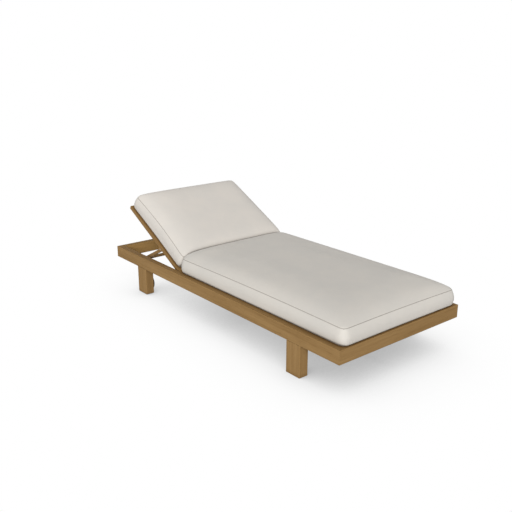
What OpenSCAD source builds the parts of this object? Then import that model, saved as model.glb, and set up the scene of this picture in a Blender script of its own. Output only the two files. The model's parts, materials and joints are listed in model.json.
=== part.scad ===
// Low sun and relaxation lounger: mitred hardwood frame on block legs, slatted deck,
// hinged slatted backrest held by a prop on ratchet racks, two wheels at the head end
// and two loose boxed cushions.
// +X points to the foot end, -Y is the near side, +Z is up. The origin lies on the floor
// under the centre of the frame. All sizes are in millimetres.

/* [Frame] */
// Length over the head and foot rails
frame_length = 2000; // [1800:10:2200]
// Width over the side rails
frame_width = 850; // [700:10:1000]
// Height of the rail tops and of the slatted deck above the floor
deck_height = 235; // [200:5:300]
// Depth of the four rails
rail_height = 70; // [60:1:85]
// Thickness of the four rails
rail_thick = 40; // [34:1:48]
// Rounding of the long edges of the timber
edge_radius = 2.5; // [1:0.5:4]

/* [Legs] */
// Size of a leg along the frame
leg_length = 95; // [80:1:115]
// Size of a leg across the frame
leg_width = 53; // [44:1:64]
// Foot end of the frame to the middle of the foot legs
foot_leg_inset = 297; // [240:1:355]
// Head end of the frame to the middle of the head legs
head_leg_inset = 307; // [255:1:365]
// Gap under the head legs, which the wheels carry clear of the floor
head_leg_lift = 4; // [2:0.5:6]
// Length of the tenon on top of a leg
leg_tenon_length = 60; // [48:1:72]
// Thickness of the tenon on top of a leg
leg_tenon_thick = 18; // [14:1:22]
// Height of the tenon on top of a leg
leg_tenon_height = 42; // [34:1:50]

/* [Corner joints] */
// Reach of a loose corner tenon into each rail
corner_tenon_length = 12; // [10:1:14]
// Thickness of a loose corner tenon along the mitre
corner_tenon_thick = 14; // [11:1:16]
// Height of a loose corner tenon
corner_tenon_height = 44; // [36:1:52]

/* [Seat deck] */
// Number of seat slats
seat_slat_count = 13; // [11:1:15]
// Gap between neighbouring seat slats
seat_slat_gap = 13; // [10:1:16]
// Thickness of the seat slats
seat_slat_thick = 18; // [15:1:22]
// Gap at each end of a seat slat to the side rail
seat_slat_end_gap = 1; // [0.5:0.5:3]
// Side of the square ledgers that carry the slat ends
ledger_size = 25; // [20:1:30]
// Width of the bearer under the middle of the slats
bearer_width = 30; // [25:1:36]
// Depth of the bearer under the middle of the slats
bearer_height = 45; // [38:1:50]
// Reach of the bearer and cross rail tenons into what holds them
bearer_tenon_length = 12; // [9:1:15]
// Width of the cross rail at the head end of the seat deck
cross_rail_width = 45; // [38:1:54]
// Depth of the cross rail at the head end of the seat deck
cross_rail_height = 66; // [64:1:68]
// Shoulder round the tenons of the bearer and the cross rail
tenon_shoulder_width = 8; // [6:1:10]

/* [Backrest] */
// Head end of the frame to the axis of the backrest hinge
hinge_inset = 655; // [600:1:700]
// Angle of the backrest above flat as drawn, in degrees
back_angle = 28; // [24:1:33]
// Highest angle of the backrest, in degrees
back_angle_max = 56; // [50:1:60]
// Hinge axis to the head end of the backrest
back_length = 604; // [520:1:610]
// Thickness of the backrest frame
back_thick = 22; // [19:1:26]
// Width of the backrest stiles
stile_width = 50; // [45:1:58]
// Gap between a stile and the side rail
stile_gap = 6; // [5:0.5:8]
// Gap between the seat deck and the round lower end of a stile
hinge_gap = 3; // [2:0.5:5]
// Width of the top and bottom rails of the backrest
back_rail_width = 45; // [38:1:52]
// Hinge axis to the lower edge of the bottom rail of the backrest
back_rail_start = 14; // [12:1:20]
// Number of backrest slats
back_slat_count = 7; // [6:1:8]
// Gap between neighbouring backrest slats
back_slat_gap = 10; // [8:1:13]
// Thickness of the backrest slats
back_slat_thick = 12; // [10:1:14]
// Thickness of the tongues on the ends of the slats and rails of the backrest
tongue_thick = 6; // [5:0.5:8]
// Reach of the tongues into the stiles
tongue_length = 10; // [8:1:14]

/* [Hinge hardware] */
// Diameter of the hinge pins
hinge_pin_dia = 8; // [7:0.5:9]
// Wall of the hinge bushes
bush_wall = 2; // [1.5:0.5:2.5]
// Depth of a hinge pin in the side rail
pin_rail_depth = 24; // [20:1:28]
// Depth of a hinge pin and its bush in the stile
pin_stile_depth = 36; // [30:1:42]
// Diameter of the spacer washers on the hinge pins
spacer_dia = 18; // [15:1:21]

/* [Prop] */
// Hinge axis to the prop pivots, along the backrest
pivot_distance = 224; // [205:1:240]
// Underside of the backrest frame to the prop pivots
pivot_depth = 13; // [12.5:0.5:16]
// Head end of the frame to the prop bar as drawn
bar_inset = 216; // [200:1:225]
// Rail underside to the middle of the prop bar as drawn
bar_rest_height = 24; // [22:1:29]
// Rail underside to the middle of the prop bar with the backrest flat
bar_flat_height = 20; // [19:1:22]
// Thickness of the prop arms
arm_thick = 16; // [14:1:20]
// Width of the prop arms
arm_width = 18; // [16:1:20]
// Gap between the inner edge of a stile and the prop arm
arm_gap = 3; // [2:1:5]
// Diameter of the prop bar between the arms
bar_dia = 20; // [18:1:22]
// Diameter of the pegs on the ends of the prop bar
peg_dia = 10; // [9:0.5:11]
// Gap between a peg and the side rail
peg_gap = 2; // [1:0.5:3]
// Diameter of the pivot pins of the prop
pivot_pin_dia = 8; // [7:0.5:9]
// Diameter of the heads of the pivot pins
pivot_head_dia = 14; // [12:0.5:16]
// Thickness of the heads of the pivot pins
pivot_head_thick = 3; // [2:0.5:4]
// Length of a pivot block along the backrest
pivot_block_length = 44; // [38:1:52]
// Depth of a pivot block below the backrest frame
pivot_block_depth = 22; // [21:1:27]
// Width of a pivot block
pivot_block_width = 22; // [19:1:24]

/* [Ratchet racks] */
// Thickness of the racks
rack_thick = 22; // [20:1:26]
// Length of plain rack beyond the first and the last notch
rack_end_length = 26; // [22:1:30]
// Depth of the ratchet notches
notch_depth = 8; // [7:0.5:9]
// Gap between the path of the pegs and the tooth tips
notch_clearance = 0.5; // [0.3:0.1:0.8]

/* [Wheels] */
// Diameter of the wheels
wheel_dia = 100; // [90:1:118]
// Head end of the frame to the wheel axle
axle_inset = 275; // [260:1:290]
// Width of a wheel hub
hub_width = 24; // [20:1:28]
// Thickness of the tyre
tyre_thick = 9; // [7:0.5:11]
// Depth of the tyre seat below the rims of the hub
tyre_seat_depth = 3; // [2:0.5:4]
// Width of each rim beside the tyre
rim_width = 2.5; // [2:0.5:4]
// Width of the flat ring inside each rim
rim_ring_width = 9; // [7:0.5:11]
// Diameter of the boss at the middle of a hub
hub_boss_dia = 34; // [28:1:40]
// Depth of the recess round the boss
hub_recess_depth = 5; // [4:0.5:6]
// Diameter of the wheel axles
axle_dia = 10; // [8.5:0.5:11]
// Depth of an axle in the leg
axle_leg_depth = 28; // [23:1:33]
// Diameter of the axle head and of the axle washer
axle_head_dia = 20; // [17:1:24]
// Thickness of the axle head
axle_head_thick = 4; // [3:0.5:5]
// Thickness of the axle washer
axle_washer_thick = 2; // [1.5:0.5:3]

/* [Cushions] */
// Height of the boxing, from the bottom to the top seam
boxing_height = 84; // [70:1:100]
// Rise of the crown of the seat cushion above its top seam
seat_crown_rise = 31; // [26:1:37]
// Rise of the crown of the back cushion above its top seam
back_crown_rise = 38; // [32:1:45]
// Swell of the boxing beyond its seams
boxing_swell_depth = 9; // [6:1:12]
// Depth that the sides are drawn in between the corners
side_draw_depth = 5; // [3:1:7]
// Corner radius of the cushions
cushion_corner_radius = 26; // [21:1:32]
// Inset of the bottom of a cushion from its swollen sides
cushion_bottom_inset = 6; // [5:0.5:8]
// Outer face of a side rail to the side seam of the seat cushion
seat_cushion_inset = 37; // [34:1:60]
// Overhang of the seat cushion seam over the inner edge of the foot rail
seat_cushion_overhang = 24; // [12:1:28]
// Hinge axis to the head end seam of the seat cushion
seat_cushion_offset = 27; // [23:1:33]
// Gap between the top seams of the two cushions where they meet
cushion_seam_gap = 4; // [3.5:0.5:6]
// Outer face of a stile to the side seam of the back cushion
back_cushion_inset = 17; // [12:1:40]
// Top end of the backrest to the upper end seam of the back cushion
back_cushion_top_inset = 12; // [8:1:30]

/* [Hidden] */
$fn = 48;

teak = "#9b7d55";
teak_dark = "#8a6c45";
steel = "#b4b6b8";
nylon = "#3a3936";
rubber = "#2b2724";
cloth = "#cfc9bf";

// Overrun of a cut past the face that it opens
cut_overrun = 1;
// Radial clearance of everything that turns on a pin
running_gap = 0.05;
// Gap between parts that slide past each other or only lie on each other
slip_gap = 0.3;
// Number of flat steps in each rounded timber edge
edge_steps = 3;

rail_low = deck_height - rail_height;
half_length = frame_length / 2;
half_width = frame_width / 2;
inner_half = half_width - rail_thick;
inner_end = half_length - rail_thick;

foot_leg_x = half_length - foot_leg_inset;
head_leg_x = head_leg_inset - half_length;
leg_y = half_width - leg_width / 2;
leg_inner_y = half_width - leg_width;

hinge_x = hinge_inset - half_length;
hinge_z = deck_height - back_thick / 2;
stile_outer = inner_half - stile_gap;
stile_inner = stile_outer - stile_width;

cross_rail_x = hinge_x + back_thick / 2 + hinge_gap;
deck_start = cross_rail_x + cross_rail_width;
deck_length = inner_end - deck_start;
seat_slat_width = (deck_length - (seat_slat_count + 1) * seat_slat_gap) / seat_slat_count;
slat_low = deck_height - seat_slat_thick;

// A point of the backrest, u up along it from the hinge and w square to it, at angle a
function back_point(u, w, a) = [
    hinge_x - u * cos(a) + w * sin(a),
    hinge_z + u * sin(a) + w * cos(a)
];

pivot_w = -back_thick / 2 - pivot_depth;
pivot_rest = back_point(pivot_distance, pivot_w, back_angle);
pivot_flat = back_point(pivot_distance, pivot_w, 0);
bar_rest = [bar_inset - half_length, rail_low + bar_rest_height];
arm_reach = norm(pivot_rest - bar_rest);
prop_rest = atan2(pivot_rest[1] - bar_rest[1], pivot_rest[0] - bar_rest[0]);
prop_flat = asin((pivot_flat[1] - rail_low - bar_flat_height) / arm_reach);
// Turn of the prop arms for each degree of the backrest, seen from the frame
prop_gain = (prop_rest - prop_flat) / back_angle;

// Middle of the prop bar with the backrest at angle a
function bar_point(a) = let (p = prop_rest + prop_gain * (a - back_angle))
    back_point(pivot_distance, pivot_w, a) - arm_reach * [cos(p), sin(p)];

// Places of the notches above the drawn one, as shares of the way to the highest angle
notch_shares = [0, 0.39, 0.71, 1];
notch_angles = concat([0], [for (s = notch_shares) back_angle + s * (back_angle_max - back_angle)]);

panel_start = back_rail_start + back_rail_width;
panel_length = back_length - back_rail_width - panel_start;
back_slat_width = (panel_length - (back_slat_count + 1) * back_slat_gap) / back_slat_count;

bush_dia = hinge_pin_dia + 2 * bush_wall;
arm_inner = stile_inner + arm_gap;
arm_outer = arm_inner + arm_thick;
block_inner = arm_outer + slip_gap;
pin_head_inner = arm_inner - slip_gap - pivot_head_thick;

wheel_x = axle_inset - half_length;
wheel_z = wheel_dia / 2;
hub_outer_y = leg_inner_y - axle_washer_thick - slip_gap;
wheel_y = hub_outer_y - hub_width / 2;
rim_radius = wheel_dia / 2 - tyre_thick + tyre_seat_depth;

// Points of a rectangle with round corners about its middle
function round_rect(w, h, r, steps) = [
    for (corner = [0:3]) for (i = [0:steps])
        let (
            a = 90 * (corner + i / steps),
            sx = (corner == 0 || corner == 3) ? 1 : -1,
            sy = corner < 2 ? 1 : -1
        )
        [sx * (w / 2 - r) + r * cos(a), sy * (h / 2 - r) + r * sin(a)]
];

// A timber with rounded long edges, lying along X from x0 to x1
module timber_x(x0, x1, y0, y1, z0, z1) {
    translate([x0, (y0 + y1) / 2, (z0 + z1) / 2])
        rotate([90, 0, 90])
            linear_extrude(x1 - x0)
                polygon(round_rect(y1 - y0, z1 - z0, edge_radius, edge_steps));
}

// A timber with rounded long edges, lying along Y from y0 to y1
module timber_y(x0, x1, y0, y1, z0, z1) {
    translate([(x0 + x1) / 2, y1, (z0 + z1) / 2])
        rotate([90, 0, 0])
            linear_extrude(y1 - y0)
                polygon(round_rect(x1 - x0, z1 - z0, edge_radius, edge_steps));
}

// A plain block between two corners
module block(low, high) {
    translate(low)
        cube(high - low);
}

// A round pin along Y from y0 to y1 through the point x, z
module pin_y(x, z, y0, y1, dia) {
    translate([x, y1, z])
        rotate([90, 0, 0])
            cylinder(d = dia, h = y1 - y0);
}

// The far side is the near side mirrored
module far_side() {
    mirror([0, 1, 0])
        children();
}

// Frame: rails with mitred ends, and the mortises cut in them

module mitre_cut(along, across, height) {
    linear_extrude(height)
        polygon([
            [-along, -across],
            [along, -across],
            [along - rail_thick, -across + rail_thick],
            [rail_thick - along, -across + rail_thick]
        ]);
}

// One loose tenon across the mitre at the corner of the given signs
module corner_tenon(sx, sy) {
    translate([
        sx * (half_length - rail_thick / 2),
        sy * (half_width - rail_thick / 2),
        rail_low + (rail_height - corner_tenon_height) / 2
    ])
        rotate([0, 0, 45 * sx * sy])
            translate([-corner_tenon_thick / 2, -corner_tenon_length, 0])
                cube([corner_tenon_thick, 2 * corner_tenon_length, corner_tenon_height]);
}

// The tenon on top of a leg at x on the near side, and its mortise
module leg_tenon(x) {
    y = -half_width + rail_thick / 2;
    block(
        [x - leg_tenon_length / 2, y - leg_tenon_thick / 2, rail_low - cut_overrun],
        [x + leg_tenon_length / 2, y + leg_tenon_thick / 2, rail_low + leg_tenon_height]
    );
}

// The tenon on the near end of the cross rail, and its mortise
module cross_rail_tenon() {
    block(
        [
            cross_rail_x + tenon_shoulder_width,
            -inner_half - bearer_tenon_length,
            deck_height - cross_rail_height + tenon_shoulder_width
        ],
        [
            deck_start - tenon_shoulder_width,
            -inner_half + cut_overrun,
            deck_height - tenon_shoulder_width
        ]
    );
}

// The tenons on both ends of the centre bearer, and their mortises
module bearer_tenons() {
    block(
        [
            deck_start - bearer_tenon_length,
            -bearer_width / 2 + tenon_shoulder_width,
            slat_low - bearer_height + tenon_shoulder_width
        ],
        [
            inner_end + bearer_tenon_length,
            bearer_width / 2 - tenon_shoulder_width,
            slat_low - tenon_shoulder_width
        ]
    );
}

module side_rail() {
    color(teak) difference() {
        intersection() {
            timber_x(-half_length, half_length, -half_width, -inner_half, rail_low, deck_height);
            translate([0, 0, rail_low])
                mitre_cut(half_length, half_width, rail_height);
        }
        for (sx = [-1, 1])
            corner_tenon(sx, -1);
        leg_tenon(foot_leg_x);
        leg_tenon(head_leg_x);
        cross_rail_tenon();
        pin_y(hinge_x, hinge_z, -inner_half - pin_rail_depth, -inner_half + cut_overrun, hinge_pin_dia);
    }
}

module end_rail(sx) {
    color(teak) difference() {
        intersection() {
            timber_y(
                sx < 0 ? -half_length : inner_end,
                sx < 0 ? -inner_end : half_length,
                -half_width, half_width, rail_low, deck_height
            );
            translate([0, 0, rail_low])
                rotate([0, 0, 90 * sx])
                    mitre_cut(half_width, half_length, rail_height);
        }
        for (sy = [-1, 1])
            corner_tenon(sx, sy);
        bearer_tenons();
    }
}

module near_side_rail() {
    side_rail();
}

module far_side_rail() {
    far_side()
        side_rail();
}

module head_rail() {
    end_rail(-1);
}

module foot_rail() {
    end_rail(1);
}

module corner_tenons() {
    color(teak_dark)
        for (sx = [-1, 1])
            for (sy = [-1, 1])
                corner_tenon(sx, sy);
}

// Legs

module leg(x, lift) {
    intersection() {
        leg_tenon(x);
        block(
            [x - leg_tenon_length, -half_width, rail_low],
            [x + leg_tenon_length, -inner_half, deck_height]
        );
    }
    translate([x, -leg_y, lift])
        linear_extrude(rail_low - lift)
            polygon(round_rect(leg_length, leg_width, edge_radius, edge_steps));
}

module near_foot_leg() {
    color(teak)
        leg(foot_leg_x, 0);
}

module far_foot_leg() {
    far_side()
        near_foot_leg();
}

module near_head_leg() {
    color(teak) difference() {
        leg(head_leg_x, head_leg_lift);
        pin_y(wheel_x, wheel_z, -leg_inner_y - axle_leg_depth, -leg_inner_y + cut_overrun, axle_dia);
    }
}

module far_head_leg() {
    far_side()
        near_head_leg();
}

// Seat deck

module deck_cross_rail() {
    color(teak) difference() {
        union() {
            timber_y(
                cross_rail_x, deck_start, -inner_half, inner_half,
                deck_height - cross_rail_height, deck_height
            );
            cross_rail_tenon();
            far_side()
                cross_rail_tenon();
        }
        bearer_tenons();
    }
}

module centre_bearer() {
    color(teak) {
        timber_x(
            deck_start, inner_end, -bearer_width / 2, bearer_width / 2,
            slat_low - bearer_height, slat_low
        );
        bearer_tenons();
    }
}

module near_ledger() {
    color(teak)
        timber_x(
            deck_start, inner_end, -inner_half, -inner_half + ledger_size,
            slat_low - ledger_size, slat_low
        );
}

module far_ledger() {
    far_side()
        near_ledger();
}

module seat_slat(i) {
    x = deck_start + seat_slat_gap + (i - 1) * (seat_slat_width + seat_slat_gap);
    y = inner_half - seat_slat_end_gap;
    color(teak)
        timber_y(x, x + seat_slat_width, -y, y, slat_low, deck_height);
}

// Backrest, drawn flat with the hinge axis through the origin and then raised

module raised() {
    translate([hinge_x, 0, hinge_z])
        rotate([0, back_angle, 0])
            children();
}

module back_stile() {
    color(teak) raised() difference() {
        union() {
            timber_x(
                -back_length, 0, -stile_outer, -stile_inner, -back_thick / 2, back_thick / 2
            );
            pin_y(0, 0, -stile_outer, -stile_inner, back_thick);
        }
        block(
            [-back_length - cut_overrun, -stile_inner - tongue_length, -tongue_thick / 2],
            [-back_rail_start, -stile_inner + cut_overrun, tongue_thick / 2]
        );
        pin_y(0, 0, -stile_outer - cut_overrun, -stile_outer + pin_stile_depth, bush_dia);
    }
}

module near_back_stile() {
    back_stile();
}

module far_back_stile() {
    far_side()
        back_stile();
}

// A slat or rail of the backrest from u0 to u1, with its tongues in the stiles
module back_board(u0, u1, thick) {
    top = back_thick / 2;
    color(teak) raised() {
        timber_y(-u1, -u0, -stile_inner, stile_inner, top - thick, top);
        block(
            [-u1, -stile_inner - tongue_length, -tongue_thick / 2],
            [-u0, stile_inner + tongue_length, tongue_thick / 2]
        );
    }
}

module back_bottom_rail() {
    back_board(back_rail_start, back_rail_start + back_rail_width, back_thick);
}

module back_top_rail() {
    back_board(back_length - back_rail_width, back_length, back_thick);
}

module back_slat(i) {
    u = panel_start + back_slat_gap + (i - 1) * (back_slat_width + back_slat_gap);
    back_board(u, u + back_slat_width, back_slat_thick);
}

// Hinge hardware

module both_sides() {
    children();
    far_side()
        children();
}

module hinge_pins() {
    color(steel) both_sides()
        pin_y(
            hinge_x, hinge_z, -inner_half - pin_rail_depth, -stile_outer + pin_stile_depth,
            hinge_pin_dia
        );
}

module hinge_bushes() {
    color(nylon) both_sides() difference() {
        pin_y(hinge_x, hinge_z, -stile_outer, -stile_outer + pin_stile_depth, bush_dia);
        pin_y(
            hinge_x, hinge_z, -stile_outer - cut_overrun, -stile_outer + pin_stile_depth + cut_overrun,
            hinge_pin_dia + 2 * running_gap
        );
    }
}

module hinge_spacers() {
    color(nylon) both_sides() difference() {
        pin_y(hinge_x, hinge_z, -inner_half, -stile_outer - slip_gap, spacer_dia);
        pin_y(hinge_x, hinge_z, -inner_half - cut_overrun, -stile_outer + cut_overrun, hinge_pin_dia);
    }
}

// Prop that holds the backrest up

// Half length of the lower edge of a pivot block, as a share of the upper one
block_taper_share = 0.55;

module pivot_block() {
    half = pivot_block_length / 2;
    top = -back_thick / 2;
    color(teak) raised() difference() {
        translate([-pivot_distance, -block_inner, 0])
            rotate([90, 0, 0])
                linear_extrude(pivot_block_width)
                    polygon([
                        [-half, top],
                        [-half * block_taper_share, top - pivot_block_depth],
                        [half * block_taper_share, top - pivot_block_depth],
                        [half, top]
                    ]);
        pin_y(
            -pivot_distance, pivot_w, -block_inner - pivot_block_width - cut_overrun,
            -block_inner + cut_overrun, pivot_pin_dia
        );
    }
}

module near_pivot_block() {
    pivot_block();
}

module far_pivot_block() {
    far_side()
        pivot_block();
}

module prop_pivot_pins() {
    color(steel) both_sides() raised() {
        pin_y(
            -pivot_distance, pivot_w, -block_inner - pivot_block_width, -pin_head_inner,
            pivot_pin_dia
        );
        pin_y(
            -pivot_distance, pivot_w, -arm_inner + slip_gap, -pin_head_inner, pivot_head_dia
        );
    }
}

// The prop is drawn along -X with its pivot at the origin and then set at its angle
module propped() {
    translate([pivot_rest[0], 0, pivot_rest[1]])
        rotate([0, -prop_rest, 0])
            children();
}

module prop_arm() {
    color(teak) propped() difference() {
        union() {
            block(
                [-arm_reach, -arm_outer, -arm_width / 2],
                [0, -arm_inner, arm_width / 2]
            );
            for (x = [-arm_reach, 0])
                pin_y(x, 0, -arm_outer, -arm_inner, arm_width);
        }
        pin_y(0, 0, -arm_outer - cut_overrun, -arm_inner + cut_overrun, pivot_pin_dia + 2 * running_gap);
        pin_y(-arm_reach, 0, -arm_outer - cut_overrun, -arm_inner + cut_overrun, peg_dia);
    }
}

module near_prop_arm() {
    prop_arm();
}

module far_prop_arm() {
    far_side()
        prop_arm();
}

module prop_bar() {
    peg_end = inner_half - peg_gap;
    color(teak) propped() {
        pin_y(-arm_reach, 0, -arm_inner, arm_inner, bar_dia);
        pin_y(-arm_reach, 0, -peg_end, peg_end, peg_dia);
    }
}

// Ratchet racks: saw teeth whose tips follow the path of the pegs

// Where the steep wall, the floor and the ramp of a notch lie, as shares of the peg radius
wall_share = 1.05;
floor_start_share = 0.75;
floor_end_share = 0.15;
// Drop of the steep wall, as a share of the notch depth
wall_drop_share = 0.7;
// Flat land on each tooth tip, as a share of the notch depth
land_share = 0.45;

module rack() {
    r = peg_dia / 2;
    last = len(notch_angles) - 1;
    places = [for (a = notch_angles) bar_point(a)];
    tips = [for (p = places) p[1] - r - notch_clearance];
    low_tips = [for (k = [0:last]) min(tips[k], tips[max(k - 1, 0)])];
    notches = [
        for (k = [0:last])
            let (
                x = places[k][0],
                floor_z = tips[k] - notch_depth,
                next_x = k < last ? places[k + 1][0] - r * wall_share : x + rack_end_length - r,
                next_z = low_tips[min(k + 1, last)]
            )
            each [
                [x - r * wall_share, low_tips[k]],
                [x - r * wall_share, low_tips[k] - notch_depth * wall_drop_share],
                [x - r * floor_start_share, floor_z],
                [x + r * floor_end_share, floor_z],
                [next_x - notch_depth * land_share, next_z]
            ]
    ];
    end_x = places[last][0] + rack_end_length;
    start_x = places[0][0] - rack_end_length;
    outline = concat(
        [[start_x, rail_low], [start_x, low_tips[0]]],
        notches,
        [[end_x, low_tips[last]], [end_x, rail_low]]
    );
    color(teak_dark)
        translate([0, -inner_half + rack_thick, 0])
            rotate([90, 0, 0])
                linear_extrude(rack_thick)
                    polygon(outline);
}

module near_rack() {
    rack();
}

module far_rack() {
    far_side()
        rack();
}

// Wheels

module on_axle() {
    translate([wheel_x, -wheel_y, wheel_z])
        rotate([90, 0, 0])
            children();
}

// Half of the hub's section, as radius and distance from the wheel's middle
module hub_section() {
    half = hub_width / 2;
    bore = axle_dia / 2 + running_gap;
    seat = rim_radius - tyre_seat_depth;
    tread = half - rim_width;
    polygon([
        [bore, -half],
        [hub_boss_dia / 2, -half],
        [hub_boss_dia / 2, -half + hub_recess_depth],
        [rim_radius - rim_ring_width, -half + hub_recess_depth],
        [rim_radius - rim_ring_width, -half],
        [rim_radius, -half],
        [rim_radius, -tread],
        [seat, -tread],
        [seat, tread],
        [rim_radius, tread],
        [rim_radius, half],
        [rim_radius - rim_ring_width, half],
        [rim_radius - rim_ring_width, half - hub_recess_depth],
        [hub_boss_dia / 2, half - hub_recess_depth],
        [hub_boss_dia / 2, half],
        [bore, half]
    ]);
}

module near_wheel_hub() {
    color(teak_dark) on_axle()
        rotate_extrude($fn = 72)
            hub_section();
}

module far_wheel_hub() {
    far_side()
        near_wheel_hub();
}

module near_tyre() {
    seat = rim_radius - tyre_seat_depth;
    tread = hub_width / 2 - rim_width;
    outer = wheel_dia / 2;
    shoulder = (outer - rim_radius) / 2;
    color(rubber) on_axle()
        rotate_extrude($fn = 72)
            polygon(concat(
                [[seat, -tread]],
                [
                    for (a = [-90:30:0])
                        [outer - shoulder + shoulder * cos(a), -tread + shoulder + shoulder * sin(a)]
                ],
                [
                    for (a = [0:30:90])
                        [outer - shoulder + shoulder * cos(a), tread - shoulder + shoulder * sin(a)]
                ],
                [[seat, tread]]
            ));
}

module far_tyre() {
    far_side()
        near_tyre();
}

module wheel_axles() {
    head_start = wheel_y - hub_width / 2 - slip_gap;
    color(steel) both_sides() {
        pin_y(wheel_x, wheel_z, -leg_inner_y - axle_leg_depth, -head_start, axle_dia);
        pin_y(wheel_x, wheel_z, -head_start, -head_start + axle_head_thick, axle_head_dia);
    }
}

module axle_washers() {
    color(steel) both_sides() difference() {
        pin_y(
            wheel_x, wheel_z, -leg_inner_y, -leg_inner_y + axle_washer_thick, axle_head_dia
        );
        pin_y(
            wheel_x, wheel_z, -leg_inner_y - cut_overrun, -leg_inner_y + axle_washer_thick + cut_overrun,
            axle_dia
        );
    }
}

// Cushions: a boxed cushion with a swelling boxing, a flat bottom and a crowned top

cushion_corner_steps = 5;
cushion_side_steps = 8;
// Heights of the rings of the boxing, as shares of its height
boxing_shares = [0.06, 0.16, 0.3, 0.46, 0.64, 0.82, 1];
// How far below the bottom the swell of the boxing starts, as a share of its height
swell_start_share = 0.2;
// Distances of the rings of the crown from the seam, as shares of the half width
crown_shares = [0.012, 0.035, 0.07, 0.12, 0.2, 0.32, 0.5, 0.75, 0.97];
// Powers that set how square the crown is
crown_power = 5;
crown_root = 2.2;

// Outline of a cushion about its middle, grown by d, with its sides drawn in
function cushion_outline(half_x, half_y, d) = let (
    hx = half_x + d,
    hy = half_y + d,
    r = max(cushion_corner_radius + d, cushion_corner_radius / cushion_side_steps),
    c = [[hx - r, hy - r], [r - hx, hy - r], [r - hx, r - hy], [hx - r, r - hy]]
) [
    for (k = [0:3])
        let (
            next = c[(k + 1) % 4],
            out = [cos(90 * k + 90), sin(90 * k + 90)],
            from = c[k] + r * out,
            to = next + r * out
        )
        each concat(
            [
                for (i = [0:cushion_corner_steps])
                    let (a = 90 * (k + i / cushion_corner_steps))
                    c[k] + r * [cos(a), sin(a)]
            ],
            [
                for (i = [1:cushion_side_steps - 1])
                    let (t = i / cushion_side_steps)
                    from + t * (to - from) - side_draw_depth * sin(180 * t) * out
            ]
        )
];

function ring_at(outline, z) = [for (q = outline) [q[0], q[1], z]];

// Swell of the boxing at the share t of its height
function swell_at(t) =
    boxing_swell_depth * sin(180 * (t + swell_start_share) / (1 + swell_start_share));

// A closed cushion of half_x by half_y at its seams, standing on z = 0
module boxed_cushion(half_x, half_y, crown_rise) {
    rings = concat(
        [ring_at(cushion_outline(half_x, half_y, swell_at(0) - cushion_bottom_inset), 0)],
        [
            for (t = boxing_shares)
                ring_at(cushion_outline(half_x, half_y, swell_at(t)), boxing_height * t)
        ],
        [
            for (s = crown_shares)
                let (rise = pow(1 - pow(1 - s, crown_power), 1 / crown_root))
                ring_at(
                    cushion_outline(half_x, half_y, -half_y * s),
                    boxing_height + crown_rise * rise
                )
        ]
    );
    n = len(rings[0]);
    top = len(rings) - 1;
    points = concat(
        [for (ring = rings) each ring],
        [[0, 0, 0], [0, 0, boxing_height + crown_rise]]
    );
    low_middle = (top + 1) * n;
    faces = concat(
        [for (i = [0:n - 1]) [low_middle, i, (i + 1) % n]],
        [
            for (k = [0:top - 1])
                for (i = [0:n - 1])
                    let (a = k * n + i, b = k * n + (i + 1) % n)
                    each [[a, a + n, b], [b, a + n, b + n]]
        ],
        [for (i = [0:n - 1]) [top * n + i, low_middle + 1, top * n + (i + 1) % n]]
    );
    polyhedron(points, faces);
}

module seat_cushion() {
    x0 = hinge_x + seat_cushion_offset;
    x1 = inner_end + seat_cushion_overhang;
    color(cloth)
        translate([(x0 + x1) / 2, 0, deck_height + slip_gap])
            boxed_cushion((x1 - x0) / 2, half_width - seat_cushion_inset, seat_crown_rise);
}

// The lower end seam of the back cushion clears the seat cushion as drawn
module back_cushion() {
    seam_w = back_thick / 2 + slip_gap + boxing_height;
    u0 = (seam_w * sin(back_angle) + cushion_seam_gap - seat_cushion_offset) / cos(back_angle);
    u1 = back_length - back_cushion_top_inset;
    color(cloth) raised()
        translate([-(u0 + u1) / 2, 0, back_thick / 2 + slip_gap])
            boxed_cushion((u1 - u0) / 2, stile_outer - back_cushion_inset, back_crown_rise);
}

near_side_rail();
far_side_rail();
head_rail();
foot_rail();
corner_tenons();
near_foot_leg();
far_foot_leg();
near_head_leg();
far_head_leg();
deck_cross_rail();
centre_bearer();
near_ledger();
far_ledger();
for (i = [1:seat_slat_count])
    seat_slat(i);
near_back_stile();
far_back_stile();
back_top_rail();
back_bottom_rail();
for (i = [1:back_slat_count])
    back_slat(i);
hinge_pins();
hinge_bushes();
hinge_spacers();
near_pivot_block();
far_pivot_block();
prop_pivot_pins();
near_prop_arm();
far_prop_arm();
prop_bar();
near_rack();
far_rack();
near_wheel_hub();
near_tyre();
far_wheel_hub();
far_tyre();
wheel_axles();
axle_washers();
seat_cushion();
back_cushion();
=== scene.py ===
"""Looks of the relaxation lounger: its cushions, timber, metal, light and camera.

Lengths are in metres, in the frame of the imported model: +X towards the foot end,
-Y the long side near the camera, +Z up.
"""

import json
import math
from collections import namedtuple

import bmesh
import bpy
import numpy as np
from mathutils import Matrix, Vector


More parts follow.
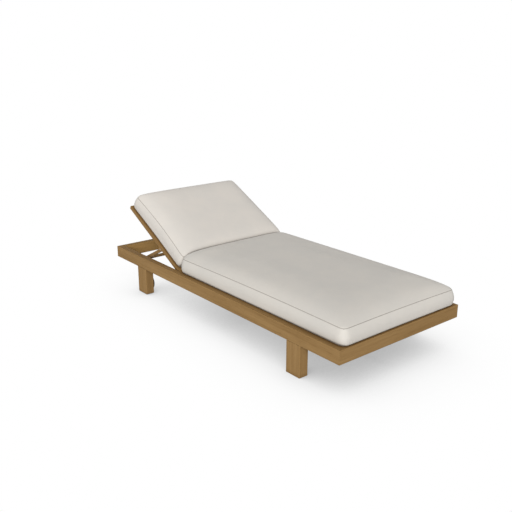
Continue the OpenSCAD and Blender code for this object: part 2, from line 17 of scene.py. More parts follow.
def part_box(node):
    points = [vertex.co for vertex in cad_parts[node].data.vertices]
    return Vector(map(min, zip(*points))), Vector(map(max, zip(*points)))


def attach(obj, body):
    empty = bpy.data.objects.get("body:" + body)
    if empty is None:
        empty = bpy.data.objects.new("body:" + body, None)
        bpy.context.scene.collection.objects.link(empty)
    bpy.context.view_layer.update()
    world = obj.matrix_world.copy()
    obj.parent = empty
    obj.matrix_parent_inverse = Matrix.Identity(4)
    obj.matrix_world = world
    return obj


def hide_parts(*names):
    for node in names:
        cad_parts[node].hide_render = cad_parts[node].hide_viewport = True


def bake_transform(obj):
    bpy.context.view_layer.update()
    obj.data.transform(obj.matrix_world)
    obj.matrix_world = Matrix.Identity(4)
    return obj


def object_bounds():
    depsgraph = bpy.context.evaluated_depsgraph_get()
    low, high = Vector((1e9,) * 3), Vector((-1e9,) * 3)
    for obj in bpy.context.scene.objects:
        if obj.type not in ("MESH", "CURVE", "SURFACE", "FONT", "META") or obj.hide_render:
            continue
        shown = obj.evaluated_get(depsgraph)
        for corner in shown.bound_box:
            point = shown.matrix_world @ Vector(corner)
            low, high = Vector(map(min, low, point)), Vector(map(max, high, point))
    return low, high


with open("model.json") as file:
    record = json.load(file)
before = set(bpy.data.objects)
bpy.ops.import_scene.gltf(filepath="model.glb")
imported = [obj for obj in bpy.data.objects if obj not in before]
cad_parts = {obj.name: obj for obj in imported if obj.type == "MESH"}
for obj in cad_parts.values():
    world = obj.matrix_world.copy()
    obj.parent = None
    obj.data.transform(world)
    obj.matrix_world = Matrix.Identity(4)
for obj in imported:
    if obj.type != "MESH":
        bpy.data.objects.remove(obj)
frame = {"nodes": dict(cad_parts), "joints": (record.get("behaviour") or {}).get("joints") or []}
nodes = frame["nodes"]
scene = bpy.context.scene
cad_box = [list(corner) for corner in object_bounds()]

# Places taken from the frame. The backrest lies flat at the lower end of its travel.
back_hinge = next(joint for joint in frame["joints"] if joint["name"] == "back_hinge")
HINGE = Vector(back_hinge["pos_m"])
BACK_ANGLE = math.radians(-back_hinge["range_deg"][0])
SEAT_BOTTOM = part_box("seat_cushion")[0][2]
FOOT_END = cad_box[1][0]

# Camera, fitted to the corners and legs of the frame in the photograph: its place, the direction
# of its back, its lens and sensor, and how far it sees
CAMERA_AT = (2.7876, -2.3354, 1.4898)
CAMERA_BACK = (0.7400, -0.5998, 0.3042)
LENS_MM = 46.893
SENSOR_MM = 36.0
SIGHT_END = 60.0


def facing(place, back):
    """The matrix of a camera or lamp at place that looks away from the direction back."""
    return Matrix.Translation(place) @ Vector(back).to_track_quat("Z", "Y").to_matrix().to_4x4()


camera_data = bpy.data.cameras.new("camera")
camera_data.sensor_width = SENSOR_MM
camera_data.lens = LENS_MM
camera_data.clip_end = SIGHT_END
camera = bpy.data.objects.new("camera", camera_data)
camera.matrix_world = facing(CAMERA_AT, CAMERA_BACK)
scene.collection.objects.link(camera)
scene.camera = camera
scene.view_settings.view_transform = "Standard"

# Node helpers
AO_SAMPLES = 16
NOISE_ROUGHNESS = 0.55
SCREEN_WHITE = 255
SCREEN_GAMMA = 2.2
WHITE = (1.0, 1.0, 1.0, 1.0)


class Tree:
    """A node tree with short calls for the nodes that the finishes share."""

    def __init__(self, tree):
        self.tree = tree
        tree.nodes.clear()

    def node(self, kind, inputs, **settings):
        """A new node with its settings, and with its inputs by their names or numbers."""
        made = self.tree.nodes.new(kind)
        for key, value in settings.items():
            setattr(made, key, value)
        for key, value in inputs.items():
            self.put(value, made.inputs[key])
        return made

    def put(self, value, socket):
        """Links a node's output to a socket, or sets the socket to a number, vector or colour."""
        if isinstance(value, bpy.types.NodeSocket):
            self.tree.links.new(value, socket)
        else:
            socket.default_value = value

    def math(self, operation, a, b=0.0, clamp=False):
        made = self.node("ShaderNodeMath", {0: a, 1: b}, operation=operation, use_clamp=clamp)
        return made.outputs[0]

    def place(self):
        return self.node("ShaderNodeTexCoord", {}).outputs["Object"]

    def axis(self, vector, number):
        """One coordinate of vector: X, Y or Z by the number 0, 1 or 2."""
        return self.node("ShaderNodeSeparateXYZ", {0: vector}).outputs[number]

    def scaled(self, vector, scale):
        return self.node("ShaderNodeMapping", {"Vector": vector, "Scale": scale}).outputs[0]

    def noise(self, vector, waves, detail, roughness=NOISE_ROUGHNESS):
        """Noise with waves to the metre, the same all round or given for X, Y and Z."""
        if isinstance(waves, tuple):
            vector, waves = self.scaled(vector, waves), 1.0
        inputs = {"Vector": vector, "Scale": waves, "Detail": detail, "Roughness": roughness}
        return self.node("ShaderNodeTexNoise", inputs).outputs["Fac"]

    def spread(self, value, low, high, out_low=0.0, out_high=1.0):
        """out_low where value is low, out_high where it is high, and no further beyond them."""
        inputs = {"Value": value, "From Min": low, "From Max": high, "To Min": out_low, "To Max": out_high}
        return self.node("ShaderNodeMapRange", inputs).outputs[0]

    def mix(self, share, tone, towards):
        # a Mix node for colours has its factor at 0, its colours at 6 and 7 and its result at 2
        return self.node("ShaderNodeMix", {0: share, 6: tone, 7: towards}, data_type="RGBA").outputs[2]

    def tint(self, tone, towards, pattern, start, full, share):
        """tone mixed towards a colour: not at all where pattern is start, by share where it is full."""
        return self.mix(self.spread(pattern, start, full, 0.0, share), tone, towards)

    def openness(self, reach):
        """1 on open surfaces, down to 0 in the creases between surfaces closer than reach."""
        made = self.node("ShaderNodeAmbientOcclusion", {"Distance": reach}, samples=AO_SAMPLES)
        return made.outputs["AO"]

    def by_sight(self, for_light, for_sight):
        """One shader for the rays that carry light, and another for those that show what is there."""
        rays = self.node("ShaderNodeLightPath", {}).outputs
        mirrored = self.math("MAXIMUM", rays["Is Glossy Ray"], rays["Is Transmission Ray"])
        seen = self.math("MAXIMUM", rays["Is Camera Ray"], mirrored)
        shaders = {0: seen, 1: for_light.outputs[0], 2: for_sight.outputs[0]}
        return self.node("ShaderNodeMixShader", shaders).outputs[0]


class Finish(Tree):
    """A material with one Principled shader."""

    def __init__(self, name):
        self.material = bpy.data.materials.new(name)
        self.material.use_nodes = True
        super().__init__(self.material.node_tree)
        self.shader = self.node("ShaderNodeBsdfPrincipled", {})
        self.node("ShaderNodeOutputMaterial", {"Surface": self.shader.outputs[0]})

    def dress(self, values):
        """Puts numbers, colours and node outputs on the shader, by the names of its sockets."""
        for name, value in values.items():
            self.put(value, self.shader.inputs[name])
        return self.material

    def relief(self, height, depth, strength):
        inputs = {"Height": height, "Distance": depth, "Strength": strength}
        return self.node("ShaderNodeBump", inputs).outputs[0]


def colour(r, g, b):
    """A colour given as it shows on the screen, 0 to 255, as linear RGBA."""
    return tuple((c / SCREEN_WHITE) ** SCREEN_GAMMA for c in (r, g, b)) + (1.0,)


# In the values of the finishes, a pattern is the arguments of a noise. A tint gives the level of its
# pattern at which it starts, the level at which it is full, and its share of the colour there. A
# roughness is that at the low and at the high end of its pattern, and for a noise those ends are
# NOISE_SPAN. A relief is the height of a bump and the bump's strength.
NOISE_SPAN = (0.3, 0.7)

# Timber
Wood = namedtuple("Wood", "light main dark pore")
OILED_WOOD = Wood(
    light=colour(173, 140, 96),
    main=colour(154, 122, 80),
    dark=colour(124, 95, 58),
    pore=colour(92, 66, 37),
)
# A lighter copy of the oiled wood for the head rail: painted light on its inner face, which gets little
# light under the backrest
HEAD_RAIL_PAINTED_LIGHT_WOOD = Wood(
    light=colour(200, 162, 108),
    main=colour(184, 147, 95),
    dark=colour(142, 112, 67),
    pore=colour(112, 84, 48),
)
WHEEL_WOOD = Wood(
    light=colour(84, 66, 50),
    main=colour(68, 52, 39),
    dark=colour(50, 38, 29),
    pore=colour(32, 24, 18),
)
# The figure, the streaks along the grain, the pores, and the change of tone from board to board
FIGURE = {"waves": (1.4, 15.0, 15.0), "detail": 3.0, "roughness": 0.5}
STREAKS = {"waves": (2.5, 75.0, 75.0), "detail": 4.0, "roughness": 0.6}
PORES = {"waves": (14.0, 520.0, 520.0), "detail": 2.0, "roughness": 0.5}
BOARD = {"waves": 1.3, "detail": 1.0}
FIGURE_TINT = (0.34, 0.66, 1.0)
# The share of the main colour, which evens the figure out
MAIN_SHARE = 0.62
STREAK_TINT = (0.42, 0.70, 0.42)
BOARD_TINT = (0.35, 0.65, 0.22)
PORE_TINT = (0.58, 0.72, 0.38)
# Painted shade on faces turned up, by the Z of their normal, and in the corners where pieces meet
TOP_SHADE_SPAN = (0.5, 1.0)
PAINTED_TOP_SHADE = 0.48
# The head rail's top takes more of the painted shade, so that the painted light shows mainly on its inner
# face
HEAD_RAIL_PAINTED_TOP_SHADE = 0.95
CORNER_SHADE_REACH = 0.03
PAINTED_CORNER_SHADE = (0.9, 0.25, 0.6)
# What the streaks and the pores add to the relief
STREAK_HEIGHT = 0.5
PIT_SPAN = (0.55, 0.75)
PIT_DEPTH = 0.6
WOOD_SPECULAR = 0.05
WOOD_ROUGHNESS = (0.52, 0.68)
WOOD_RELIEF = (0.0006, 0.55)
# The most that a piece's random number moves its grain, so that no two boards look alike
BOARD_SHIFT = (7.0, 3.0, 5.0)
# Turns that lay the grain along an axis or along the backrest
RIGHT = math.pi / 2
ALONG_X = (0, 0, 0)
ALONG_Y = (0, 0, -RIGHT)
ALONG_Z = (0, RIGHT, 0)
ALONG_BACK = (0, -BACK_ANGLE, 0)


def timber(name, turn, wood=OILED_WOOD, painted_top_shade=PAINTED_TOP_SHADE):
    """Hardwood with its grain along X once the pattern is turned by turn, in radians."""
    made = Finish(name)
    turned = made.node("ShaderNodeMapping", {"Vector": made.place(), "Rotation": turn}).outputs[0]
    seed = made.node("ShaderNodeObjectInfo", {}).outputs["Random"]
    shift = made.node("ShaderNodeVectorMath", {0: BOARD_SHIFT, "Scale": seed}, operation="SCALE")
    shifted = made.node("ShaderNodeVectorMath", {0: turned, 1: shift.outputs[0]}, operation="ADD")
    grain = shifted.outputs[0]
    streaks = made.noise(grain, **STREAKS)
    pores = made.noise(grain, **PORES)
    tone = made.tint(wood.dark, wood.light, made.noise(grain, **FIGURE), *FIGURE_TINT)
    tone = made.mix(MAIN_SHARE, tone, wood.main)
    tone = made.tint(tone, wood.dark, streaks, *STREAK_TINT)
    tone = made.tint(tone, wood.light, made.noise(grain, **BOARD), *BOARD_TINT)
    tone = made.tint(tone, wood.pore, pores, *PORE_TINT)
    # painted shade: faces turned up are darker, as in the photograph, and so are the corners where pieces
    # meet, in the colour of the pores
    up = made.axis(made.node("ShaderNodeNewGeometry", {}).outputs["Normal"], 2)
    tone = made.tint(tone, wood.dark, up, *TOP_SHADE_SPAN, painted_top_shade)
    tone = made.tint(tone, wood.pore, made.openness(CORNER_SHADE_REACH), *PAINTED_CORNER_SHADE)
    pits = made.math("MULTIPLY", made.spread(pores, *PIT_SPAN), PIT_DEPTH)
    height = made.math("SUBTRACT", made.math("MULTIPLY", streaks, STREAK_HEIGHT), pits)
    return made.dress({
        "Base Color": tone,
        "Roughness": made.spread(streaks, *NOISE_SPAN, *WOOD_ROUGHNESS),
        "Specular IOR Level": WOOD_SPECULAR,
        "Normal": made.relief(height, *WOOD_RELIEF),
    })


# Rubber of the tyres
TYRE_BLACK = colour(44, 42, 40)
TYRE_DUST = colour(74, 70, 64)
DUST = {"waves": 38.0, "detail": 4.0}
DUST_TINT = (0.45, 0.75, 0.5)
RUBBER_GRAIN = {"waves": 900.0, "detail": 2.0}
RUBBER_ROUGHNESS = (0.72, 0.9)
RUBBER_RELIEF = (0.0003, 0.5)


def rubber():
    made = Finish("tyre_rubber")
    dust = made.noise(made.place(), **DUST)
    grain = made.noise(made.place(), **RUBBER_GRAIN)
    return made.dress({
        "Base Color": made.tint(TYRE_BLACK, TYRE_DUST, dust, *DUST_TINT),
        "Roughness": made.spread(dust, *NOISE_SPAN, *RUBBER_ROUGHNESS),
        "Normal": made.relief(grain, *RUBBER_RELIEF),
    })


# Steel of the pins, axles and washers, with its brush lines along their axis, Y
STEEL_DARK = colour(176, 176, 174)
STEEL_LIGHT = colour(206, 206, 204)
BRUSH_LINES = {"waves": (900.0, 30.0, 900.0), "detail": 2.0}
STEEL_ROUGHNESS = (0.26, 0.42)
STEEL_RELIEF = (0.0001, 0.4)


def steel():
    made = Finish("brushed_steel")
    lines = made.noise(made.place(), **BRUSH_LINES)
    return made.dress({
        "Base Color": made.mix(lines, STEEL_DARK, STEEL_LIGHT),
        "Metallic": 1.0,
        "Roughness": made.spread(lines, *NOISE_SPAN, *STEEL_ROUGHNESS),
        "Normal": made.relief(lines, *STEEL_RELIEF),
    })


# Nylon of the bushes and spacers
NYLON_DARK = colour(50, 50, 50)
NYLON_LIGHT = colour(62, 61, 60)
NYLON_SKIN = {"waves": 700.0, "detail": 2.0}
NYLON_ROUGHNESS = (0.45, 0.6)
NYLON_RELIEF = (0.0002, 0.4)


def nylon():
    made = Finish("moulded_nylon")
    skin = made.noise(made.place(), **NYLON_SKIN)
    return made.dress({
        "Base Color": made.mix(skin, NYLON_DARK, NYLON_LIGHT),
        "Roughness": made.spread(skin, *NOISE_SPAN, *NYLON_ROUGHNESS),
        "Normal": made.relief(skin, *NYLON_RELIEF),
    })


def both_sides(*names):
    """The near and the far node of each name."""
    return [f"{side}_{name}" for name in names for side in ("near", "far")]


rails_across = ["foot_rail", "deck_cross_rail", "back_top_rail", "back_bottom_rail", "prop_bar"]
slats = [name for name in nodes if "_slat_" in name]
FINISHES = {
    timber("timber_along_x", ALONG_X): both_sides("side_rail", "ledger", "rack")
    + ["centre_bearer", "corner_tenons"],
    timber("timber_along_y", ALONG_Y): rails_across + slats,
    # the head rail's lighter wood is painted light, and its top has a stronger painted shade
    timber("timber_head_rail", ALONG_Y, HEAD_RAIL_PAINTED_LIGHT_WOOD, HEAD_RAIL_PAINTED_TOP_SHADE): ["head_rail"],
    timber("timber_along_z", ALONG_Z): both_sides("foot_leg", "head_leg"),
    timber("timber_along_back", ALONG_BACK): both_sides("back_stile", "pivot_block", "prop_arm"),
    timber("wheel_timber", ALONG_Z, WHEEL_WOOD): both_sides("wheel_hub"),
    rubber(): both_sides("tyre"),
    steel(): ["hinge_pins", "prop_pivot_pins", "wheel_axles", "axle_washers"],
    nylon(): ["hinge_bushes", "hinge_spacers"],
}
for finish, names in FINISHES.items():
    for name in names:
        mesh = nodes[name].data
        mesh.materials.clear()
        mesh.materials.append(finish)

# Cloth of the cushions
Cloth = namedtuple("Cloth", "base warm cool")
SEAT_CLOTH = Cloth(base=colour(215, 210, 202), warm=colour(219, 213, 204), cool=colour(210, 206, 199))
# The back's cloth is a lighter copy of the seat's: painted light on the back cushion
BACK_CLOTH_PAINTED_LIGHT = Cloth(base=colour(220, 214, 206), warm=colour(224, 217, 208), cool=colour(215, 210, 203))
# The seam strip's cloth is darker: painted shade along the groove of the seam
SEAM_SHADE = colour(168, 162, 154)
# The colour of the painted shade in the crease and where the cloth meets other surfaces
CREASE_SHADE = colour(78, 66, 52)
WEAVE_MAP = "weave"
# Pitch of the threads
THREAD = 0.0013
SLUBS = {"waves": (160.0, 1440.0, 160.0), "detail": 3.0}
CROSS_SLUBS = {"waves": (1440.0, 160.0, 160.0), "detail": 3.0}
MOTTLE = {"waves": 7.0, "detail": 3.0}
MOTTLE_TINT = (0.35, 0.65, 1.0)
BASE_SHARE = 0.5
SLUB_TINT = (0.45, 0.8, 0.22)
# Painted shade where the cloth nears other surfaces: the crease between the cushions is a thin dark line
# with soft sides
PAINTED_SHADE_REACH = 0.05
SEAM_SHADE_REACH = 0.001
PAINTED_CREASE_SIDE_SHADE = (0.9, 0.3, 0.28)
PAINTED_CREASE_LINE_SHADE = (0.66, 0.48, 0.8)
SLUB_HEIGHT = 0.5
CLOTH_SPECULAR = 0.18
CLOTH_SHEEN = 0.12
SHEEN_ROUGHNESS = 0.5
CLOTH_ROUGHNESS = (0.88, 0.78)
CLOTH_RELIEF = (0.00022, 0.5)


def woven(name, cloth, painted_shade_reach=PAINTED_SHADE_REACH):
    """Plain woven outdoor cloth, its threads laid along the cushion's own panels."""
    made = Finish(name)
    panel = made.node("ShaderNodeUVMap", {}, uv_map=WEAVE_MAP).outputs[0]
    turns = [made.math("MULTIPLY", made.axis(panel, number), 2 * math.pi / THREAD) for number in (0, 1)]
    crossing = made.math("MULTIPLY", made.math("SINE", turns[0]), made.math("SINE", turns[1]))
    weave = made.spread(crossing, -1.0, 1.0)
    slubs = made.noise(panel, **SLUBS)
    cross_slubs = made.noise(panel, **CROSS_SLUBS)
    tone = made.tint(cloth.cool, cloth.warm, made.noise(made.place(), **MOTTLE), *MOTTLE_TINT)
    tone = made.mix(BASE_SHARE, tone, cloth.base)
    tone = made.tint(tone, cloth.cool, slubs, *SLUB_TINT)
    tone = made.tint(tone, cloth.warm, cross_slubs, *SLUB_TINT)
    # painted shade in the crease between the cushions and where their cloth meets the frame
    openness = made.openness(painted_shade_reach)
    tone = made.tint(tone, CREASE_SHADE, openness, *PAINTED_CREASE_SIDE_SHADE)
    tone = made.tint(tone, CREASE_SHADE, openness, *PAINTED_CREASE_LINE_SHADE)
    bumps = made.math("MULTIPLY", made.math("ADD", slubs, cross_slubs), SLUB_HEIGHT)
    return made.dress({
        "Base Color": tone,
        "Roughness": made.spread(weave, 0.0, 1.0, *CLOTH_ROUGHNESS),
        "Specular IOR Level": CLOTH_SPECULAR,
        "Sheen Weight": CLOTH_SHEEN,
        "Sheen Roughness": SHEEN_ROUGHNESS,
        "Normal": made.relief(made.math("ADD", weave, bumps), *CLOTH_RELIEF),
    })


seat_cloth = woven("seat_cloth", SEAT_CLOTH)
# painted light: the back cushion's cloth is a lighter copy of the seat's
back_painted_light_cloth = woven("back_painted_light_cloth", BACK_CLOTH_PAINTED_LIGHT)
# the seam strip's cloth, darkened as painted shade along its groove
seam_shade_cloth = woven("seam_shade_cloth", Cloth(SEAM_SHADE, SEAM_SHADE, SEAM_SHADE), SEAM_SHADE_REACH)

# Form that the cushions share: the height of the boxing, the radius of the corners on plan, the
# height of the crown above the boxing, and how far the underside is set in
BOXING = 0.084
CORNER = 0.026
CROWN = 0.043
BOTTOM_INSET = 0.004
# The boxing swells by a half sine that starts this share of its height below the underside
SWELL_START = 0.2
# The share of the seam's draw that the underside has, how fast the rest comes with the height,
# and the power of the distance from the cushion's middle by which the draw falls off inwards
DRAW_AT_BOTTOM = 0.2
DRAW_RISE = 2.5
DRAW_POWER = 3
# The crown has nearly two thirds of its height at this distance from the seam, and this power of
# the distance shapes its curve
CROWN_REACH = 0.054
CROWN_POWER = 1.13
# The lattice: its cells, its lines near the edges by their distance from the edge, its lines up
# the boxing by their share of its height, and how near to the edge counts as on it
CELL = 0.013
EDGE_STEPS = (0.0, 0.004, 0.010, 0.018, 0.028)
BOXING_LEVELS = (0.0, 0.06, 0.18, 0.34, 0.5, 0.66, 0.83, 1.0)
ON_EDGE = 1e-6


def lattice_places(half):
    """Places of the lattice lines across a cushion, closer together near its edges."""
    edge = np.array(EDGE_STEPS[:-1]) - half
    inner = half - EDGE_STEPS[-1]
    middle = np.linspace(-inner, inner, round(2 * inner / CELL) + 1)
    return np.concatenate([edge, middle, -edge[::-1]])


def end(x):
    return "head" if x < 0 else "foot"


def side(y):
    return "near" if y < 0 else "far"


def boxing_swell(level):
    """Share of the boxing's bulge at a level of it."""
    return math.sin(math.pi * (level + SWELL_START) / (1 + SWELL_START))


def between_corners(place, half):
    """0 to 1 from the first corner of a cushion to its last."""
    return min(max((place + half - CORNER) / (2 * (half - CORNER)), 0), 1)


def cushion_form(half_x, half_y, corner, draw, steep, bulge, far_gain):
    """Lattice of a boxed cushion: points, faces, each face's place on its cloth panel, rim and base.

    By end and side, corner gives the radii that differ from CORNER. By side, draw gives how far
    the seam is drawn in at its middle, steep how fast the crown rises, and bulge how far the
    boxing stands out. far_gain widens the far side, at the head end and at the foot end. rim is
    the points of the seam, and base those of the underside.
    """
    xs, ys = lattice_places(half_x), lattice_places(half_y)
    nx, ny, nz = len(xs) - 1, len(ys) - 1, len(BOXING_LEVELS) - 1
    index, points, flat = {}, [], []
    faces, panels = [], []

    def plan(x, y, level):
        """A lattice place moved to the rounded and drawn-in outline, swollen at the edge."""
        radius = corner.get((end(x), side(y)), CORNER)
        past = Vector((abs(x) - (half_x - radius), abs(y) - (half_y - radius)))
        edge_x, edge_y = abs(x) > half_x - ON_EDGE, abs(y) > half_y - ON_EDGE
        out = Vector((0, 0))
        px, py = abs(x), abs(y)
        if past.x > 0 and past.y > 0:
            past *= max(past) / past.length
            px, py = half_x - radius + past.x, half_y - radius + past.y
            out = past.normalized()
        elif edge_x:
            out = Vector((1, 0))
        elif edge_y:
            out = Vector((0, 1))
        if edge_x or edge_y:
            inset = BOTTOM_INSET if level == 0 else 0
            px += (boxing_swell(level) * bulge[end(x)] - inset) * out.x
            py += (boxing_swell(level) * bulge[side(y)] - inset) * out.y
        along, across = between_corners(x, half_x), between_corners(y, half_y)
        drawn = min(1, DRAW_AT_BOTTOM + DRAW_RISE * level)
        py -= drawn * draw[side(y)] * math.sin(math.pi * along) * (py / half_y) ** DRAW_POWER
        px -= drawn * draw[end(x)] * math.sin(math.pi * across) * (px / half_x) ** DRAW_POWER
        if side(y) == "far":
            py *= far_gain[0] + (far_gain[1] - far_gain[0]) * along
        return math.copysign(px, x), math.copysign(py, y)

    def rise(x, y):
        """Height of the crown above the boxing, held down most by the nearest seams."""
        from_end = (half_x - abs(x)) * steep[end(x)]
        from_side = (half_y - abs(y)) * steep[side(y)]
        reach = (from_end**-2 + from_side**-2) ** -0.5
        return CROWN * (1 - math.exp(-((reach / CROWN_REACH) ** CROWN_POWER)))

    def point(i, j, k):
        """The number of a lattice point, which is made when it is first asked for."""
        if (i, j, k) not in index:
            x, y, level = xs[i], ys[j], BOXING_LEVELS[k]
            crowned = k == nz and 0 < i < nx and 0 < j < ny
            index[i, j, k] = len(points)
            points.append((*plan(x, y, level), BOXING * level + (rise(x, y) if crowned else 0)))
            flat.append((x, y, BOXING * level))
        return index[i, j, k]

    def face(keys, axes):
        numbers = [point(*key) for key in keys]
        faces.append(numbers)
        panels.append([(flat[p][axes[0]], flat[p][axes[1]]) for p in numbers])

    for i in range(nx):
        for j in range(ny):
            face([(i, j, nz), (i + 1, j, nz), (i + 1, j + 1, nz), (i, j + 1, nz)], (0, 1))
            face([(i, j, 0), (i, j + 1, 0), (i + 1, j + 1, 0), (i + 1, j, 0)], (0, 1))
    for k in range(nz):
        for i in range(nx):
            face([(i, 0, k), (i + 1, 0, k), (i + 1, 0, k + 1), (i, 0, k + 1)], (0, 2))
            face([(i, ny, k), (i, ny, k + 1), (i + 1, ny, k + 1), (i + 1, ny, k)], (0, 2))
        for j in range(ny):
            face([(0, j, k), (0, j, k + 1), (0, j + 1, k + 1), (0, j + 1, k)], (1, 2))
            face([(nx, j, k), (nx, j + 1, k), (nx, j + 1, k + 1), (nx, j, k + 1)], (1, 2))
    rim = {v for (i, j, k), v in index.items() if k == nz and (i in (0, nx) or j in (0, ny))}
    base = {v for (i, j, k), v in index.items() if k == 0}
    return points, faces, panels, rim, base


# Cloth simulation: its frames and settings, the most that it may move the cloth, how often the
# result is smoothed, and how firmly the seam is held
SIM_FRAMES = 20
SIM_SETTINGS = {
    "quality": 5,
    "mass": 0.3,
    "tension_stiffness": 40,
    "compression_stiffness": 40,
    "shear_stiffness": 10,
    "bending_stiffness": 8,
    "use_pressure": True,
    "uniform_pressure_force": 1.2,
    "vertex_group_mass": "held",
    "pin_stiffness": 1,
}
SIM_CAP = 0.006
SIM_SMOOTHING = 14
RIM_HELD = 0.75


def evaluated_copy(piece):
    """A new mesh with the piece's modifiers applied."""
    graph = bpy.context.evaluated_depsgraph_get()
    graph.update()
    return bpy.data.meshes.new_from_object(
        piece.evaluated_get(graph), preserve_all_data_layers=True, depsgraph=graph
    )


def inflate(piece, rest):
    """Swells the cushion with a cloth simulation, then puts the capped result in its mesh."""
    modifier = piece.modifiers.new("inflate", "CLOTH")
    for key, value in SIM_SETTINGS.items():
        setattr(modifier.settings, key, value)
    modifier.settings.effector_weights.gravity = 0
    modifier.collision_settings.use_collision = False
    modifier.point_cache.frame_start = 1
    modifier.point_cache.frame_end = SIM_FRAMES
    for step in range(1, SIM_FRAMES + 1):
        scene.frame_set(step)
    swollen = evaluated_copy(piece)
    moved = np.empty(rest.size)
    swollen.vertices.foreach_get("co", moved)
    bpy.data.meshes.remove(swollen)
    piece.modifiers.remove(modifier)
    scene.frame_set(1)
    # stuffing only pushes the cloth out, by no more than the cap
    outward = np.array([v.normal for v in piece.data.vertices])
    swell = ((moved.reshape(-1, 3) - rest) * outward).sum(axis=1)
    swell = SIM_CAP * np.tanh(np.maximum(swell, 0) / SIM_CAP)
    # each smoothing takes every point half way to the mean of its neighbours
    edges = np.array([edge.vertices[:] for edge in piece.data.edges])
    starts, ends = np.concatenate([edges, edges[:, ::-1]]).T
    for _ in range(SIM_SMOOTHING):
        around = np.bincount(starts, weights=swell[ends]) / np.bincount(starts)
        swell = (swell + around) / 2
    print(f"cushion swell: mean {1000 * swell.mean():.1f} mm, most {1000 * swell.max():.1f} mm")
    placed = rest + outward * swell[:, None]
    # the underside stays where the deck holds it
    placed[:, 2] = np.maximum(placed[:, 2], 0)
    piece.data.vertices.foreach_set("co", placed.ravel())
    piece.data.update()


# Seam: its width on each side of the edge, the depth of its middle, its strips, the profile of the
# edge, the least weight in the rim's group of a point on the edge, and its place among a piece's
# materials
SEAM_WIDTH = 0.0018
SEAM_DEPTH = 0.0020
SEAM_STRIPS = 2
ROUND_PROFILE = 0.5
ON_RIM = 0.99
SEAM_SLOT = 1


def sew_seam(mesh, rim_group):
    """A narrow groove along the top edge of the boxing, where the crown is sewn on."""
    sewn = bmesh.new()
    sewn.from_mesh(mesh)
    weights = sewn.verts.layers.deform.active
    rim = {v for v in sewn.verts if v[weights].get(rim_group, 0) > ON_RIM}
    made = bmesh.ops.bevel(
        sewn,
        geom=[edge for edge in sewn.edges if rim.issuperset(edge.verts)],
        offset=SEAM_WIDTH,
        segments=SEAM_STRIPS,
        profile=ROUND_PROFILE,
        affect="EDGES",
        clamp_overlap=True,
    )
    strip = set(made["faces"])
    sewn.normal_update()
    middle = [v for v in made["verts"] if strip.issuperset(v.link_faces)]
    for v in middle:
        v.co -= SEAM_DEPTH * v.normal
    for face in strip:
        face.material_index = SEAM_SLOT
    for face in sewn.faces:
        face.smooth = True
    sewn.to_mesh(mesh)
    sewn.free()


def cushion(name, finish, place, **form):
    """A cushion's own mesh: lattice, simulated swell, one subdivision, then the sewn seam."""
    points, faces, panels, rim, base = cushion_form(**form)
    mesh = bpy.data.meshes.new(name)
    mesh.from_pydata(points, [], faces)
    layer = mesh.uv_layers.new(name=WEAVE_MAP)
    layer.data.foreach_set("uv", np.array(panels).ravel())
    piece = bpy.data.objects.new(name, mesh)
    scene.collection.objects.link(piece)
    held = piece.vertex_groups.new(name="held")
    held.add(sorted(base), 1.0, "REPLACE")
    held.add(sorted(rim), RIM_HELD, "REPLACE")
    seamed = piece.vertex_groups.new(name="rim")
    seamed.add(sorted(rim), 1.0, "REPLACE")
    # read now, because the piece's groups are made anew with its finished mesh
    rim_group = seamed.index
    inflate(piece, np.array(points))
    piece.modifiers.new("rounded", "SUBSURF").levels = 1
    finished = evaluated_copy(piece)
    piece.modifiers.clear()
    piece.data = finished
    bpy.data.meshes.remove(mesh)
    finished.name = name
    finished.materials.append(finish)
    finished.materials.append(seam_shade_cloth)
    sew_seam(finished, rim_group)
    piece.vertex_groups.clear()
    finished.transform(place)
    return piece


# Seat cushion: its seams at the head, the foot and the sides
SEAT_HEAD = -0.300
SEAT_FOOT = 0.982
SEAT_HALF = 0.386

seat = cushion(
    "seat_cushion_cloth",
    seat_cloth,
    Matrix.Translation(((SEAT_FOOT + SEAT_HEAD) / 2, 0, SEAT_BOTTOM)),
    half_x=(SEAT_FOOT - SEAT_HEAD) / 2,
    half_y=SEAT_HALF,
    corner={("head", "near"): 0.040},
    draw={"head": 0.0, "foot": 0.006, "near": 0.010, "far": 0.0},
    steep={"head": 3.6, "foot": 0.9, "near": 1.0, "far": 1.75},
    bulge={"head": 0.009, "foot": 0.016, "near": 0.015, "far": 0.016},
    far_gain=(1.03, 1.04),
)
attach(seat, "frame")
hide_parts("seat_cushion")

# Back cushion: its seams, measured up the back from the hinge and to the sides, and its underside,
# measured square to the back.
BACK_LOW = 0.012
BACK_HIGH = 0.594
BACK_HALF = 0.360
BACK_BOTTOM = 0.0113
LEAN = Matrix.Rotation(BACK_ANGLE, 4, "Y")

back = cushion(
    "back_cushion_cloth",
    back_painted_light_cloth,
    Matrix.Translation(HINGE)
    @ LEAN
    @ Matrix.Translation((-(BACK_HIGH + BACK_LOW) / 2, 0, BACK_BOTTOM)),
    half_x=(BACK_HIGH - BACK_LOW) / 2,
    half_y=BACK_HALF,
    corner={("foot", "far"): 0.010},
    draw={"head": 0.0, "foot": 0.0, "near": 0.010, "far": 0.0},
    steep={"head": 3.2, "foot": 2.4, "near": 1.0, "far": 4.0},
    bulge={"head": 0.012, "foot": 0.012, "near": 0.014, "far": 0.015},
    far_gain=(1.04, 1.09),
)
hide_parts("back_cushion")
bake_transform(back)

# Floor
FLOOR_HALF = 30.0
FLOOR_BOUNCE = 0.5
# The shadow that shows on the white floor: its reach, its depth beside the object and at its
# foot end, the length over which the one turns into the other, and how fast it falls off
SHADOW_REACH = 0.45
SHADOW_DEPTH = 0.78
SHADOW_DEPTH_FOOT = 0.95
SHADOW_TURN = 0.3
SHADOW_POWER = 1.8
# The floor turns to plain white between these distances from its middle, on a shortened X
FLOOR_LENGTH_SHARE = 0.6
FADE_START = 0.9
FADE_END = 1.5


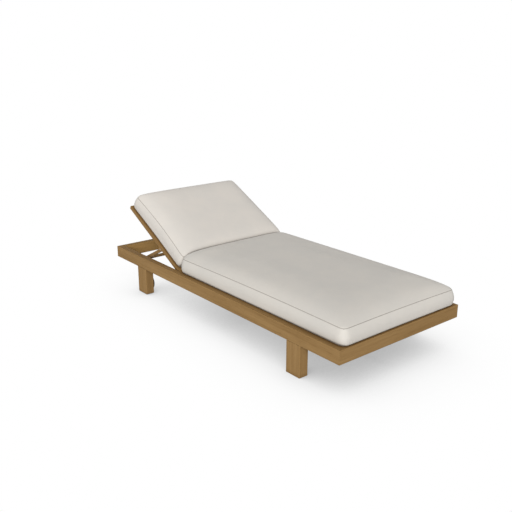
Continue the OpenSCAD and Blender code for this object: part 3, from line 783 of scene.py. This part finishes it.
def pale_floor():
    """A floor that is white where it is seen, apart from the shadow, and bounces less light."""
    made = bpy.data.materials.new("floor")
    made.use_nodes = True
    tree = Tree(made.node_tree)
    place = tree.place()
    closed = tree.math("SUBTRACT", 1.0, tree.openness(SHADOW_REACH), clamp=True)
    shadow = tree.math("POWER", closed, SHADOW_POWER)
    depth = tree.spread(
        tree.axis(place, 0), FOOT_END - SHADOW_TURN, FOOT_END, SHADOW_DEPTH, SHADOW_DEPTH_FOOT
    )
    shade = tree.math("SUBTRACT", 1.0, tree.math("MULTIPLY", shadow, depth), clamp=True)
    shortened = tree.scaled(place, (FLOOR_LENGTH_SHARE, 1, 1))
    away = tree.node("ShaderNodeVectorMath", {0: shortened}, operation="LENGTH").outputs["Value"]
    level = tree.spread(away, FADE_START, FADE_END, shade, 1.0)
    grey = (FLOOR_BOUNCE, FLOOR_BOUNCE, FLOOR_BOUNCE, 1.0)
    lit = tree.node("ShaderNodeBsdfDiffuse", {"Color": grey})
    pale = tree.node("ShaderNodeEmission", {"Color": WHITE, "Strength": level})
    tree.node("ShaderNodeOutputMaterial", {"Surface": tree.by_sight(lit, pale)})
    return made


floor_mesh = bpy.data.meshes.new("floor")
floor_mesh.from_pydata(
    [(x * FLOOR_HALF, y * FLOOR_HALF, 0) for x, y in ((-1, -1), (1, -1), (1, 1), (-1, 1))],
    [],
    [(0, 1, 2, 3)],
)
floor = bpy.data.objects.new("floor", floor_mesh)
scene.collection.objects.link(floor)
floor_mesh.materials.append(pale_floor())

# Light: the world's level, the point that the key lamp is aimed at, and the lamp's direction from
# there, distance, size and share of a plain level
WORLD_LEVEL = 0.36
KEY_AIM = Vector((0.2, 0, 0.2))
KEY_TOWARDS = Vector((0.624, -0.656, 0.425)).normalized()
KEY_DISTANCE = 24.0
KEY_SIZE = 14.0
KEY_SHARE = 0.88


def studio():
    """A world that is white where it is seen, and gives a lower level of light."""
    made = bpy.data.worlds.new("studio")
    made.use_nodes = True
    tree = Tree(made.node_tree)
    light = tree.node("ShaderNodeBackground", {"Color": WHITE, "Strength": WORLD_LEVEL})
    white = tree.node("ShaderNodeBackground", {"Color": WHITE, "Strength": 1.0})
    tree.node("ShaderNodeOutputWorld", {"Surface": tree.by_sight(light, white)})
    return made


def key_lamp():
    """A soft square lamp whose power gives KEY_SHARE of a plain light level at the object."""
    data = bpy.data.lights.new("key", "AREA")
    data.shape = "SQUARE"
    data.size = KEY_SIZE
    data.energy = KEY_SHARE * math.pi**2 * KEY_DISTANCE**2
    made = bpy.data.objects.new("key", data)
    made.matrix_world = facing(KEY_AIM + KEY_TOWARDS * KEY_DISTANCE, KEY_TOWARDS)
    scene.collection.objects.link(made)


scene.world = studio()
key_lamp()
